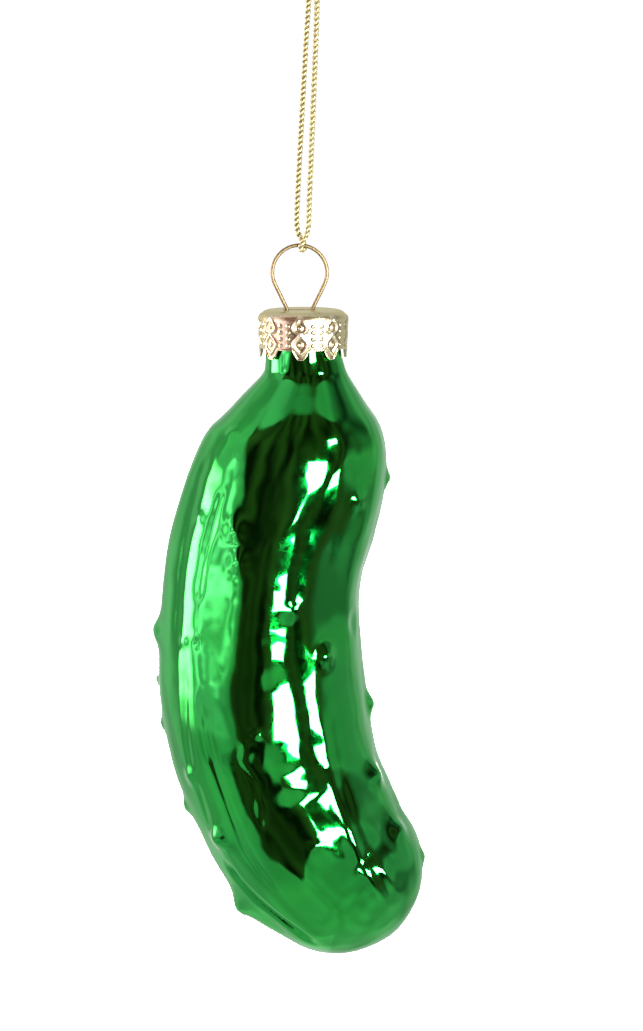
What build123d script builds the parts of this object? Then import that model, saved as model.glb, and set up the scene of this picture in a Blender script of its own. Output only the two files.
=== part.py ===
from build123d import *
from math import acos, atan2, cos, degrees, hypot, pi, radians, sin, tan
import os

# A blown-glass pickle ornament with its stamped cap, sprung wire hanger and tied cord, in millimetres.
# The origin is the hanging point, under the knot of the cord loop, and the cord hangs straight down from it.
# The glass, cap and wire are drawn upright about the centre of the wire ring, front towards -Y,
# and then hung from the cord with a small lean, because the weight of the bent glass lies to one side.

# Wire hanger
wire_diameter = 0.55
ring_radius = 3.9  # to the middle of the wire
ring_to_cap = 5.3  # centre of the ring to the top face of the cap
waist_half = 1.75  # half the distance between the two legs where they enter the cap
leg_length = 12.4  # below the top face of the cap
leg_grip_length = 3.0  # straight end of a leg, along the wall of the neck
leg_clearance = 0.1  # between a leg and the wall of the neck
wire_bend_radius = 1.0

# Glass
neck_radius = 5.65
neck_length = 8.7  # rim to the foot of the neck
neck_root = 1.0  # how far the neck's tube runs on into the shoulder
neck_step = 0.3  # the shoulder starts this far inside the neck's outside
neck_shift = 0.5  # axis of the neck, to the right of the ring's centre
glass_wall = 0.9
rim_clearance = 0.05  # between the rim and the cap
rim_radius = 0.4  # rounding of the rim, inside and outside
tip_radius = 12.4
tip_lean = 44.0  # degrees that the lower end of the body turns to the right
dome_steps = (20, 40, 60, 75)  # degrees over the dome of the lower end
ridge_count = 10
ridge_turn = 25.0  # degrees from the front to the first ridge
points_per_ridge = 3

# The body's centre line below the foot of the neck: down, to the right, radius, and height of the ridges
body_stations = [
    (0.0, 0.0, neck_radius - neck_step, 0.0),
    (1.7, 0.15, 7.25, 0.0),
    (4.1, 0.1, 9.2, 0.05),
    (7.0, -0.1, 11.35, 0.15),
    (9.9, -0.5, 12.65, 0.2),
    (13.4, -1.45, 13.4, 0.3),
    (18.7, -3.1, 13.9, 0.35),
    (25.6, -5.2, 13.9, 0.35),
    (33.2, -6.15, 14.0, 0.35),
    (41.9, -6.1, 14.45, 0.35),
    (50.7, -5.05, 14.5, 0.35),
    (59.5, -2.5, 13.85, 0.35),
    (66.7, 1.1, 13.45, 0.3),
    (71.5, 4.9, tip_radius, 0.2),
]

# Warts: along the centre line from the foot of the neck, degrees from the front to the right,
# radius of the base, and height
warts = [
    (9.6, -52, 1.3, 0.35),
    (23.4, -50, 1.8, 0.5),
    (23.3, -23, 2.0, 0.6),
    (26.8, -16, 2.1, 0.6),
    (38.0, -49, 1.5, 0.5),
    (37.1, -38, 1.4, 0.4),
    (37.8, -90, 3.0, 0.9),
    (43.9, -92, 1.6, 0.5),
    (49.0, -88, 1.6, 0.5),
    (58.9, -88, 2.1, 0.7),
    (70.8, -86, 2.8, 1.1),
    (54.8, -57, 1.8, 0.5),
    (62.6, -56, 2.0, 0.8),
    (40.0, 41, 2.2, 0.5),
    (14.5, 46, 2.0, 0.5),
    (11.7, 90, 1.8, 0.6),
    (51.2, 90, 2.4, 0.8),
    (82.0, 84, 1.8, 0.4),
    (64.8, 66, 1.9, 0.5),
    (76.0, 63, 2.2, 0.6),
    (68.4, 4, 1.1, 0.35),
    (50.4, -6, 1.1, 0.35),
    (32.6, 18, 2.0, 0.45),
    (46.0, 20, 1.9, 0.45),
    (58.0, 8, 1.9, 0.45),
    (14.0, 130, 1.8, 0.5),
    (17.5, -120, 2.0, 0.55),
    (22.0, 165, 2.1, 0.55),
    (28.0, 118, 1.7, 0.5),
    (31.0, -150, 2.1, 0.6),
    (37.0, 150, 2.3, 0.65),
    (43.0, -165, 1.8, 0.5),
    (46.5, 122, 2.0, 0.55),
    (50.0, -125, 2.2, 0.6),
    (54.5, 170, 2.0, 0.6),
    (60.0, 135, 1.8, 0.5),
    (63.5, -145, 2.1, 0.6),
    (70.5, 160, 2.0, 0.55),
    (76.5, -150, 1.8, 0.5),
]

# Cap
cap_wall = 0.3
cap_clearance = 0.2  # between the neck and the foot of the skirt
cap_flare = 0.3  # the skirt's radius at the top over its radius at the foot
cap_height = 6.7  # top face to the tips of the scallops
cap_corner_gap = 0.6  # the rounding inside the cap's top edge over that of the rim
scallop_count = 8
scallop_depth = 1.35
scallop_flat = 2.1  # straight stretch of the skirt's edge between two scallops
scallop_tip = 0.8  # width of a scallop at its tip
scallop_tip_radius = 0.6
scallop_valley_radius = 0.3
scallop_turn = -3.5  # degrees from the front to the nearest scallop
slot_end_clearance = 0.4
slot_side_clearance = 0.25

# Cord
cord_diameter = 0.7
cord_drop = 39.5  # hanging point to the middle of the wire at the top of the ring
cord_clearance = 0.1  # between the cord and the wire that it goes round
strand_half = 0.86  # half the distance between the strands above the ring
strand_half_upper = 0.68  # and below the knot
strand_open = 5.5  # length at either end in which the strands close up
bight_high = 2.6  # above the wire, where the strands turn towards each other
bight_low = 0.9  # above the wire, where the turn round the wire begins
bend_share = 0.45  # share of a stretch of the cord that one bend takes up
knot_strand_half = 0.42  # half the distance between the strands at the knot
knot_straight = 2.5  # length under the knot where the strands lie side by side
knot_core_radius = 1.0
knot_bulge = 0.15  # the core's middle over its ends
knot_height = 2.6
knot_wrap_radius = 0.85
knot_wrap_tilt = 20.0
knot_wrap_gap = 0.8  # between the two turns round the core
tail_length = 6.0
tail_spread = 16.0  # degrees that each cut end leans from upright

hang_lean = 2.8  # degrees that the neck leans from upright when the ornament hangs

os.makedirs("parts", exist_ok=True)

# Heights above the centre of the ring
wire_radius = wire_diameter / 2
cap_top = -ring_to_cap
cap_foot = cap_top - cap_height
rim_top = cap_top - cap_wall - rim_clearance
neck_foot = rim_top - neck_length
bore_radius = neck_radius - glass_wall
neck_axis = Axis((neck_shift, 0, 0), (0, 0, 1))


# Glass shell
def centre_line(inset):
    """Points, radii and ridge heights down the body and over the dome, drawn in by inset."""
    dome_radius = tip_radius - inset
    points = [Vector(neck_shift + right, 0, neck_foot - down) for down, right, _, _ in body_stations]
    radii = [radius - inset for _, _, radius, _ in body_stations]
    ridges = [ridge for _, _, _, ridge in body_stations]
    dome_centre = points[-1]
    tip_direction = Vector(sin(radians(tip_lean)), 0, -cos(radians(tip_lean)))
    for step in dome_steps:
        points.append(dome_centre + tip_direction * (dome_radius * sin(radians(step))))
        radii.append(dome_radius * cos(radians(step)))
        ridges.append(ridges[len(body_stations) - 1] * cos(radians(step)) ** 2)
    tip = dome_centre + tip_direction * dome_radius
    return points, radii, ridges, tip


def upward(points, index):
    """Direction of the centre line at a point, from the lower end towards the neck."""
    if index == 0:
        return Vector(0, 0, 1)
    if index >= len(body_stations) - 1:
        return Vector(-sin(radians(tip_lean)), 0, cos(radians(tip_lean)))
    return (points[index - 1] - points[index + 1]).normalized()


def ring_plane(points, index):
    """Plane square to the centre line, with its x to the front and its y to the right."""
    return Plane(points[index], x_dir=(0, -1, 0), z_dir=upward(points, index))


def ridged_points(radius, ridge):
    """Points round one section of the outside, over every ridge and groove."""
    count = ridge_count * points_per_ridge
    angles = [2 * pi * step / count for step in range(count)]
    lift = [ridge * (1 + cos(ridge_count * (angle - radians(ridge_turn)))) / 2 for angle in angles]
    return [((radius + up) * cos(angle), (radius + up) * sin(angle)) for angle, up in zip(angles, lift)]


def wart_centre(along, angle, depth):
    """Point under the outside, at a length down the centre line and an angle from the front."""
    points, radii, _, _ = centre_line(0)
    index = 0
    while along > (points[index + 1] - points[index]).length and index < len(points) - 2:
        along -= (points[index + 1] - points[index]).length
        index += 1
    step = points[index + 1] - points[index]
    share = along / step.length
    reach = radii[index] + (radii[index + 1] - radii[index]) * share - depth
    up = upward(points, index) * (1 - share) + upward(points, index + 1) * share
    plane = Plane(points[index] + step * share, x_dir=(0, -1, 0), z_dir=up)
    return plane.from_local_coords((reach * cos(radians(angle)), reach * sin(radians(angle)), 0))


outer_points, outer_radii, outer_ridges, outer_tip = centre_line(0)
inner_points, inner_radii, _, inner_tip = centre_line(glass_wall)

outer_rings = []
for index in range(len(outer_points)):
    with BuildSketch(ring_plane(outer_points, index)) as outer_ring:
        with BuildLine():
            Spline(*ridged_points(outer_radii[index], outer_ridges[index]), periodic=True)
        make_face()
    outer_rings.append(outer_ring.sketch)

inner_rings = []
for index in range(len(inner_points)):
    with BuildSketch(ring_plane(inner_points, index)) as inner_ring:
        Circle(inner_radii[index])
    inner_rings.append(inner_ring.sketch)

wart_balls = []
for along, angle, base, height in warts:
    ball_radius = (base**2 + height**2) / (2 * height)
    wart_balls.append(Pos(wart_centre(along, angle, ball_radius - height)) * Sphere(ball_radius))

neck_plane = Plane((neck_shift, 0, neck_foot - neck_root))
with BuildPart() as glass_shell:
    loft(outer_rings + [Vertex(outer_tip)])
    with BuildSketch(neck_plane):
        Circle(neck_radius)
    extrude(amount=neck_root + neck_length)
    add(wart_balls, clean=False)
    loft(inner_rings + [Vertex(inner_tip)], mode=Mode.SUBTRACT, clean=False)
    with BuildSketch(neck_plane):
        Circle(bore_radius)
    extrude(amount=neck_root + neck_length, mode=Mode.SUBTRACT)
    fillet(glass_shell.edges().filter_by(GeomType.CIRCLE).group_by(Axis.Z)[-1], radius=rim_radius)

# Crown cap
cap_corner_inner = rim_radius + cap_corner_gap
cap_corner_outer = cap_corner_inner + cap_wall
foot_inner = neck_radius + cap_clearance
foot_outer = foot_inner + cap_wall
top_outer = foot_outer + cap_flare
top_inner = top_outer - cap_wall
scallop_pitch = 2 * pi * foot_outer / scallop_count
slot_length = 2 * (waist_half + wire_radius + slot_end_clearance)
slot_width = wire_diameter + 2 * slot_side_clearance

with BuildPart() as crown_cap:
    with BuildSketch(Plane((neck_shift, 0, cap_top), x_dir=(1, 0, 0), z_dir=(0, -1, 0))):
        with BuildLine():
            outside = FilletPolyline(
                (0, 0), (top_outer, 0), (foot_outer, -cap_height), radius=[cap_corner_outer]
            )
            inside = FilletPolyline(
                (0, -cap_wall), (top_inner, -cap_wall), (foot_inner, -cap_height),
                radius=[cap_corner_inner],
            )
            Line(outside @ 0, inside @ 0)
            Line(outside @ 1, inside @ 1)
        make_face()
    revolve(axis=neck_axis)
    with BuildSketch(Plane.XY.offset(cap_top)):
        SlotOverall(slot_length, slot_width)
    extrude(amount=-cap_wall, mode=Mode.SUBTRACT)
    for index in range(scallop_count):
        turn = radians(-90 + scallop_turn + 360 * (index + 0.5) / scallop_count)
        outward = (cos(turn), sin(turn), 0)
        with BuildSketch(Plane((neck_shift, 0, cap_foot), x_dir=(-sin(turn), cos(turn), 0), z_dir=outward)):
            with BuildLine():
                edge = FilletPolyline(
                    (-scallop_pitch / 2, 0),
                    (-scallop_pitch / 2 + scallop_tip / 2, 0),
                    (-scallop_flat / 2, scallop_depth),
                    (scallop_flat / 2, scallop_depth),
                    (scallop_pitch / 2 - scallop_tip / 2, 0),
                    (scallop_pitch / 2, 0),
                    radius=[
                        scallop_tip_radius, scallop_valley_radius, scallop_valley_radius, scallop_tip_radius
                    ],
                )
                Polyline(
                    edge @ 1,
                    (scallop_pitch / 2, -scallop_depth),
                    (-scallop_pitch / 2, -scallop_depth),
                    edge @ 0,
                )
            make_face()
        extrude(amount=top_outer, mode=Mode.SUBTRACT)

# Wire hanger
waist_distance = hypot(waist_half, ring_to_cap)
loop_open = degrees(atan2(waist_half, ring_to_cap) + acos(ring_radius / waist_distance))
grip_half = bore_radius - leg_clearance - wire_radius
leg_foot = cap_top - leg_length
knee_height = leg_foot + leg_grip_length

with BuildPart() as wire_hanger:
    with BuildLine(Plane.XZ) as hanger_line:
        CenterArc((0, 0), ring_radius, -90 + loop_open, 360 - 2 * loop_open)
        for side in (-1, 1):
            grip = neck_shift + side * grip_half
            FilletPolyline(
                (side * ring_radius * sin(radians(loop_open)), -ring_radius * cos(radians(loop_open))),
                (side * waist_half, cap_top),
                (grip, knee_height),
                (grip, leg_foot),
                radius=wire_bend_radius,
            )
    with BuildSketch(Plane((neck_shift + grip_half, 0, leg_foot))):
        Circle(wire_radius)
    sweep(path=hanger_line.wires()[0])

# Hanging pose of the ornament under the cord
hang = Location((0, 0, -cord_drop - ring_radius), (0, -hang_lean, 0))
for piece in (glass_shell, crown_cap, wire_hanger):
    piece.part.locate(hang)

# Cord: down the right strand, round the top of the ring from the front to the back, and up the left strand
wire_top = -cord_drop
turn_radius = wire_radius + cord_clearance + cord_diameter / 2
cord_route = [
    Vector(knot_strand_half, 0, 0),
    Vector(knot_strand_half, 0, -knot_straight),
    Vector(strand_half_upper, 0, -strand_open),
    Vector(strand_half, -0.15, wire_top + strand_open),
    Vector(0.8, -0.45, wire_top + bight_high),
    Vector(0.35, -turn_radius, wire_top + bight_low),
    Vector(0.05, -turn_radius, wire_top - turn_radius),
    Vector(0.45, turn_radius, wire_top - turn_radius),
    Vector(0.0, turn_radius, wire_top + bight_low),
    Vector(-0.65, 0.45, wire_top + bight_high),
    Vector(-strand_half, 0.15, wire_top + strand_open),
    Vector(-strand_half_upper, 0, -strand_open),
    Vector(-knot_strand_half, 0, -knot_straight),
    Vector(-knot_strand_half, 0, 0),
]
under_wire = (6, 7)  # corners that go tight round the wire

cord_radii = []
for index in range(1, len(cord_route) - 1):
    before = cord_route[index] - cord_route[index - 1]
    after = cord_route[index + 1] - cord_route[index]
    half_turn = radians(before.get_angle(after)) / 2
    radius = bend_share * min(before.length, after.length) / tan(half_turn)
    cord_radii.append(min(radius, turn_radius) if index in under_wire else radius)

with BuildPart() as cord:
    with BuildLine() as cord_line:
        FilletPolyline(*cord_route, radius=cord_radii)
    with BuildSketch(Plane(cord_route[0], x_dir=(1, 0, 0), z_dir=(0, 0, -1))):
        Circle(cord_diameter / 2)
    sweep(path=cord_line.wires()[0])

cord_length = cord_line.wires()[0].length
print("cord radii", [round(radius, 2) for radius in cord_radii])
print("cord length", round(cord_length, 2), "volume share",
      round(cord.part.volume / (pi * cord_diameter**2 / 4 * cord_length), 4))

# Knot with its two cut ends
with BuildPart() as cord_knot:
    with BuildSketch(Plane.XZ):
        with BuildLine():
            Line((0, 0), (knot_core_radius, 0))
            ThreePointArc(
                (knot_core_radius, 0),
                (knot_core_radius + knot_bulge, knot_height / 2),
                (knot_core_radius, knot_height),
            )
            Line((knot_core_radius, knot_height), (0, knot_height))
            Line((0, knot_height), (0, 0))
        make_face()
    revolve(axis=Axis.Z)
    for side in (-1, 1):
        wrap_height = knot_height / 2 + side * knot_wrap_gap / 2
        with Locations(Location((0, 0, wrap_height), (side * knot_wrap_tilt, side * knot_wrap_tilt, 0))):
            Torus(knot_wrap_radius, cord_diameter / 2)
    for side in (-1, 1):
        with Locations(Location((side * knot_strand_half, 0, knot_height / 2), (0, side * tail_spread, 0))):
            Cylinder(
                cord_diameter / 2,
                knot_height / 2 + tail_length,
                align=(Align.CENTER, Align.CENTER, Align.MIN),
            )

glass_shell.part.label = "glass_shell"
export_step(glass_shell.part, "parts/glass_shell.step")
crown_cap.part.label = "crown_cap"
export_step(crown_cap.part, "parts/crown_cap.step")
wire_hanger.part.label = "wire_hanger"
export_step(wire_hanger.part, "parts/wire_hanger.step")
cord.part.label = "cord"
export_step(cord.part, "parts/cord.step")
cord_knot.part.label = "cord_knot"
export_step(cord_knot.part, "parts/cord_knot.step")
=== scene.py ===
import math

import bpy
import numpy as np
from mathutils import Matrix, Vector, noise


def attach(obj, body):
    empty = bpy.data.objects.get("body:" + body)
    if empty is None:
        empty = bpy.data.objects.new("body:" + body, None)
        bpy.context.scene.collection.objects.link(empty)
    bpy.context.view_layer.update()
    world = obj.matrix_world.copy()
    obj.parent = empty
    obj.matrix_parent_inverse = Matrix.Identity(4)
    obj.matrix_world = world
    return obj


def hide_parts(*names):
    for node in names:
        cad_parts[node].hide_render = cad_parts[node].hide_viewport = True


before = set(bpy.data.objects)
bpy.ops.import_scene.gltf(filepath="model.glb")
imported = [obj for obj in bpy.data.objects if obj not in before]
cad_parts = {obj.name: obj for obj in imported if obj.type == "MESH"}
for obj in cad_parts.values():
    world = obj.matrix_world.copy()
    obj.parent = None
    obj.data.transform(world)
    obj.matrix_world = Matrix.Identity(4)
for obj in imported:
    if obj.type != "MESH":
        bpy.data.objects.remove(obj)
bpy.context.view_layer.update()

# A blown-glass pickle ornament on its cord, in metres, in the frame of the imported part.
# The glass, cap and wire are modelled upright about the centre of the wire ring and then hung with a small lean.
MM = 0.001
ring_depth = 43.4  # from the hanging point down to the centre of the wire ring
hang_lean = 2.8  # degrees from plumb
HANG = Matrix.Translation((0, 0, -ring_depth * MM)) @ Matrix.Rotation(math.radians(-hang_lean), 4, "Y")
at_once = 4000  # vertices whose distances are worked out together


def linear(hex_colour):
    """Linear colour of an sRGB hex value."""
    parts = [int(hex_colour[start:start + 2], 16) / 255 for start in (1, 3, 5)]
    return [c / 12.92 if c <= 0.04045 else ((c + 0.055) / 1.055) ** 2.4 for c in parts] + [1.0]


def add_node(tree, kind, settings=None, links=None):
    """Adds one node. Settings go to its sockets or properties, and links join its sockets to others."""
    new = tree.nodes.new(kind)
    for name, value in (settings or {}).items():
        if isinstance(name, int) or name in new.inputs:
            new.inputs[name].default_value = value
        else:
            setattr(new, name, value)
    for name, source in (links or {}).items():
        tree.links.new(source, new.inputs[name])
    return new


def deselect():
    """Leaves nothing selected, so that the next operator acts on its own piece only."""
    if bpy.context.object and bpy.context.object.mode != "OBJECT":
        bpy.ops.object.mode_set(mode="OBJECT")
    bpy.ops.object.select_all(action="DESELECT")


def pick(piece):
    """Makes one piece the active and only selected one."""
    deselect()
    piece.select_set(True)
    bpy.context.view_layer.objects.active = piece


def apply_modifier(piece, kind, **settings):
    """Adds one modifier to a piece and applies it."""
    pick(piece)
    bpy.ops.object.modifier_add(type=kind)
    modifier = piece.modifiers[-1]
    for name, value in settings.items():
        setattr(modifier, name, value)
    bpy.ops.object.modifier_apply(modifier=modifier.name)


def hang_up(piece):
    """Takes an upright piece to its place under the cord, with its place in its mesh."""
    pick(piece)
    piece.matrix_world = HANG
    bpy.ops.object.transform_apply(location=True, rotation=True, scale=True)


def coordinates(piece):
    """The piece's vertices as an array."""
    flat = np.empty(len(piece.data.vertices) * 3)
    piece.data.vertices.foreach_get("co", flat)
    return flat.reshape(-1, 3)


def set_coordinates(piece, points):
    """Moves the piece's vertices to these points."""
    piece.data.vertices.foreach_set("co", points.ravel())
    piece.data.update()


# Camera, rolled with the photograph so that the neck stands upright in the picture
camera_rise = math.radians(7)
camera_distance = 0.85
view_centre = HANG @ Vector((3.1 * MM, 0, -34.8 * MM))
camera_turn = HANG.to_3x3() @ Matrix.Rotation(math.pi / 2 - camera_rise, 3, "X")
deselect()
bpy.ops.object.camera_add(location=view_centre + camera_turn @ Vector((0, 0, camera_distance)))
camera = bpy.context.object
camera.rotation_euler = camera_turn.to_euler()
camera.data.sensor_width = 36
camera.data.lens = 207.7
camera.data.clip_start = 0.01
camera.data.clip_end = 30
bpy.context.scene.camera = camera

# Cord: near the line of the CAD tube, with its turn round the wire after the photograph, in millimetres
wire_top = -39.5  # height of the wire's middle at the top of the ring
turn_radius = 0.725  # from the wire's middle to the cord's
knot_half = 0.42  # half the distance between the strands at the knot
cord_route = [
    (knot_half, 0, 0),
    (knot_half, 0, -2.5),
    (0.68, 0, -5.5),
    (0.86, -0.15, wire_top + 5.5),
    (0.95, -0.45, wire_top + 2.0),
    (0.3, -turn_radius, wire_top + 0.7),
    (-0.2, -turn_radius, wire_top - turn_radius),
    (0.7, turn_radius, wire_top - turn_radius),
    (0.15, turn_radius, wire_top + 0.7),
    (-0.75, 0.45, wire_top + 2.0),
    (-0.86, 0.15, wire_top + 5.5),
    (-0.68, 0, -5.5),
    (-knot_half, 0, -2.5),
    (-knot_half, 0, 0),
]


def smooth_line(route):
    """Points of the NURBS line that has the route's points, in millimetres, as its control points."""
    curve = bpy.data.curves.new("line", "CURVE")
    curve.dimensions = "3D"
    curve.resolution_u = 24
    spline = curve.splines.new("NURBS")
    spline.points.add(len(route) - 1)
    for point, place in zip(spline.points, route):
        point.co = (*[value * MM for value in place], 1)
    spline.order_u = 3
    spline.use_endpoint_u = True
    carrier = bpy.data.objects.new("line", curve)
    bpy.context.scene.collection.objects.link(carrier)
    mesh = bpy.data.meshes.new_from_object(carrier)
    points = [vertex.co.copy() for vertex in mesh.vertices]
    bpy.data.objects.remove(carrier)
    bpy.data.curves.remove(curve)
    bpy.data.meshes.remove(mesh)
    return points


steps_per_turn = 18  # along each ply


def twisted(name, lines, ply_radius, ply_offset, lay):
    """Two plies twisted round each other along every line, as one mesh that knows how far out each vertex lies."""
    curve = bpy.data.curves.new(name, "CURVE")
    curve.dimensions = "3D"
    curve.bevel_depth = ply_radius
    curve.bevel_resolution = 2
    curve.use_fill_caps = True
    step = lay / steps_per_turn
    middles = []
    for line in lines:
        lengths = [0.0]
        for before, after in zip(line, line[1:]):
            lengths.append(lengths[-1] + (after - before).length)
        count = int(lengths[-1] / step)
        centres = []
        index = 0
        for number in range(count + 1):
            along = lengths[-1] * number / count
            while index < len(line) - 2 and lengths[index + 1] < along:
                index += 1
            share = (along - lengths[index]) / max(lengths[index + 1] - lengths[index], 1e-9)
            centres.append(line[index].lerp(line[index + 1], share))
        middles += centres
        side = Vector((0, 1, 0))
        plies = ([], [])
        for number, centre in enumerate(centres):
            ahead = centres[min(number + 1, count)] - centres[max(number - 1, 0)]
            ahead.normalize()
            side = (side - ahead * side.dot(ahead)).normalized()
            across = ahead.cross(side)
            turn = 2 * math.pi * lengths[-1] * number / count / lay
            out = side * math.cos(turn) + across * math.sin(turn)
            plies[0].append(centre + out * ply_offset)
            plies[1].append(centre - out * ply_offset)
        for ply in plies:
            spline = curve.splines.new("POLY")
            spline.points.add(len(ply) - 1)
            for point, place in zip(spline.points, ply):
                point.co = (*place, 1)
    piece = bpy.data.objects.new(name, curve)
    bpy.context.scene.collection.objects.link(piece)
    pick(piece)
    bpy.ops.object.convert(target="MESH")
    piece = bpy.context.object
    bpy.ops.object.shade_smooth()
    places, middles = coordinates(piece), np.array(middles)
    outward = np.empty(len(places))
    for start in range(0, len(places), at_once):
        gaps = np.linalg.norm(places[start:start + at_once, None, :] - middles[None, :, :], axis=2)
        outward[start:start + at_once] = gaps.min(axis=1)
    # How far out each vertex lies, from 0 in the crevice between the plies to 1 on top; the colour uses it for
    # painted shade in the gaps and a painted highlight on each ply
    crevice = math.sqrt(ply_radius ** 2 - ply_offset ** 2)
    outward = np.clip((outward - crevice) / (ply_radius + ply_offset - crevice), 0, 1)
    piece.data.attributes.new("outward", "FLOAT", "POINT").data.foreach_set("value", outward)
    return piece


ply_radius = 0.22 * MM
ply_offset = 0.18 * MM
cord_lay = 1.55 * MM
cord_line = smooth_line(cord_route)
cord = twisted("twisted_cord", [cord_line], ply_radius, ply_offset, cord_lay)

# Overhand knot of the doubled cord, with its two cut ends
knot_route = [
    (0, 0, 0),
    (0, 0, 0.5),
    (0.75, -0.15, 1.0),
    (0.8, -0.75, 1.5),
    (-0.1, -0.95, 1.75),
    (-0.95, -0.45, 1.45),
    (-0.9, 0.5, 1.0),
    (-0.1, 0.95, 0.9),
    (0.75, 0.6, 1.35),
    (0.3, 0.05, 2.0),
    (0, 0, 2.6),
    (0, 0, 3.2),
]
knot_ends = [(1.0, 0.1, 4.6), (2.1, -0.2, 8.2)]
knot_strand_half = 0.36  # half the distance between the two strands in the knot
knot_strand_rise = 0.1  # and how far one lies above the other
knot_lines = []
for side in (-1, 1):
    strand = [
        (x + knot_strand_half * side, y, z + knot_strand_rise * side * min(z, 1)) for x, y, z in knot_route
    ]
    strand[0] = (knot_half * side, 0, 0)
    strand += [(x * side, y * side, z) for x, y, z in knot_ends]
    knot_lines.append(smooth_line(strand))
knot = twisted("cord_end_knot", knot_lines, ply_radius, ply_offset, cord_lay)

for piece, node in ((cord, "cord"), (knot, "cord_knot")):
    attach(piece, "cord")
    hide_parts(node)

# Glass: stations down the centre line from the foot of the neck, in millimetres: down, to the right, radius
neck_shift = 0.5
neck_foot = -14.35
rim_top = -5.65
neck_radius = 5.65
glass_wall = 0.9
tip_radius = 12.4
tip_lean = 44.0
body_stations = [
    (0.0, 0.3, 5.93),
    (1.7, 0.3, 7.29),
    (4.1, 0.1, 9.2),
    (7.0, -0.1, 11.35),
    (9.9, -0.5, 12.65),
    (13.4, -1.45, 13.4),
    (18.7, -3.1, 13.9),
    (25.6, -5.2, 13.9),
    (33.2, -6.15, 14.0),
    (41.9, -6.1, 14.45),
    (50.7, -5.05, 14.5),
    (59.5, -2.5, 13.85),
    (66.7, 1.1, 13.45),
    (71.5, 4.9, tip_radius),
]
glass_segments = 80


def eased(before, first, second, after, times, share):
    """Value between the second and third of four stations, on a curve that runs smoothly through them."""
    t0, t1, t2, t3 = times
    slope_first = (second - before) / (t2 - t0)
    slope_second = (after - first) / (t3 - t1)
    span = t2 - t1
    return (
        first * (2 * share ** 3 - 3 * share ** 2 + 1)
        + second * (3 * share ** 2 - 2 * share ** 3)
        + slope_first * span * (share ** 3 - 2 * share ** 2 + share)
        + slope_second * span * (share ** 3 - share ** 2)
    )


def body_rings(spacing):
    """Rings down the body: centre, radius and lean in degrees, about this far apart."""
    last = body_stations[-1]
    prior = (-2.0, 0.05, 5.55)
    lean_slope = math.tan(math.radians(tip_lean))
    following = (last[0] + 4.0, last[1] + 4.0 * lean_slope, last[2] - 1.6)
    table = [prior] + body_stations + [following]
    rings = []
    for index in range(1, len(table) - 2):
        four = table[index - 1:index + 3]
        times = [station[0] for station in four]
        steps = max(1, round((times[2] - times[1]) / spacing))
        for step in range(steps):
            share = step / steps
            fall = times[1] + (times[2] - times[1]) * share
            right = eased(*[station[1] for station in four], times, share)
            radius = eased(*[station[2] for station in four], times, share)
            rings.append([neck_shift + right, neck_foot - fall, radius])
    rings.append([neck_shift + last[1], neck_foot - last[0], last[2]])
    leans = [0.0]
    for before, after in zip(rings, rings[2:]):
        leans.append(math.degrees(math.atan2(after[0] - before[0], before[1] - after[1])))
    leans.append(tip_lean)
    return [(x, z, radius, lean) for (x, z, radius), lean in zip(rings, leans)]


def dome_rings(radius, steps):
    """Rings over the dome at the lower end, the tip left out."""
    last = body_stations[-1]
    lean = math.radians(tip_lean)
    rings = []
    for angle in steps:
        reach = radius * math.sin(math.radians(angle))
        rings.append((
            neck_shift + last[1] + reach * math.sin(lean),
            neck_foot - last[0] - reach * math.cos(lean),
            radius * math.cos(math.radians(angle)),
            tip_lean,
        ))
    return rings


outer_spacing, inner_spacing = 1.7, 9.0
outer_body = body_rings(outer_spacing)
inner_body = [(x, z, radius - glass_wall, lean) for x, z, radius, lean in body_rings(inner_spacing)]
chain = list(reversed(dome_rings(tip_radius - glass_wall, (20, 45, 70))))
chain += list(reversed(inner_body))
bore_radius = neck_radius - glass_wall
chain += [(neck_shift, z, bore_radius, 0) for z in (-11.0, -8.0, rim_top - 0.6)]
chain += [
    (neck_shift, rim_top - 0.15, bore_radius + 0.12, 0),
    (neck_shift, rim_top, bore_radius + glass_wall / 2, 0),
    (neck_shift, rim_top - 0.15, neck_radius - 0.12, 0),
    (neck_shift, rim_top - 0.6, neck_radius, 0),
    (neck_shift, -7.5, neck_radius - 0.1, 0),
    (neck_shift, -9.5, 5.38, 0),
    (neck_shift, -10.8, 5.38, 0),
    (neck_shift + 0.05, -12.0, 5.5, 0),
    (neck_shift + 0.15, -12.8, 5.62, 0),
    (neck_shift + 0.25, -13.5, 5.76, 0),
]
chain += outer_body
dome_steps = (10, 20, 30, 40, 50, 60, 70, 80)
chain += dome_rings(tip_radius, dome_steps)

# The glass starts as a closed disc at the inner tip, and is drawn up the inside, over the rim and down the outside
deselect()
x, z, radius, lean = chain[0]
bpy.ops.mesh.primitive_circle_add(
    vertices=glass_segments, radius=radius * MM, fill_type="TRIFAN", location=(x * MM, 0, z * MM),
    rotation=(0, math.radians(-lean), 0),
)
glass = bpy.context.object
glass.name = "silvered_glass_pickle"
bpy.ops.object.transform_apply(location=True, rotation=True, scale=True)
bpy.ops.object.mode_set(mode="EDIT")
bpy.ops.mesh.select_all(action="SELECT")
bpy.ops.mesh.region_to_loop()
for before, after in zip(chain, chain[1:]):
    centre = Vector((after[0], 0, after[1])) * MM
    step = centre - Vector((before[0], 0, before[1])) * MM
    size = after[2] / before[2]
    bpy.ops.mesh.extrude_region_move(TRANSFORM_OT_translate={"value": step})
    bpy.ops.transform.resize(value=(size, size, size), center_override=centre)
    bpy.ops.transform.rotate(
        value=math.radians(after[3] - before[3]), orient_axis="Y", center_override=centre
    )
lean = math.radians(tip_lean)
tip_reach = tip_radius * (1 - math.sin(math.radians(dome_steps[-1])))
tip = Vector((math.sin(lean), 0, -math.cos(lean))) * (tip_reach * MM)
bpy.ops.mesh.extrude_region_move(TRANSFORM_OT_translate={"value": tip})
bpy.ops.mesh.merge(type="CENTER")
bpy.ops.mesh.select_all(action="SELECT")
bpy.ops.mesh.normals_make_consistent(inside=False)
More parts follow.
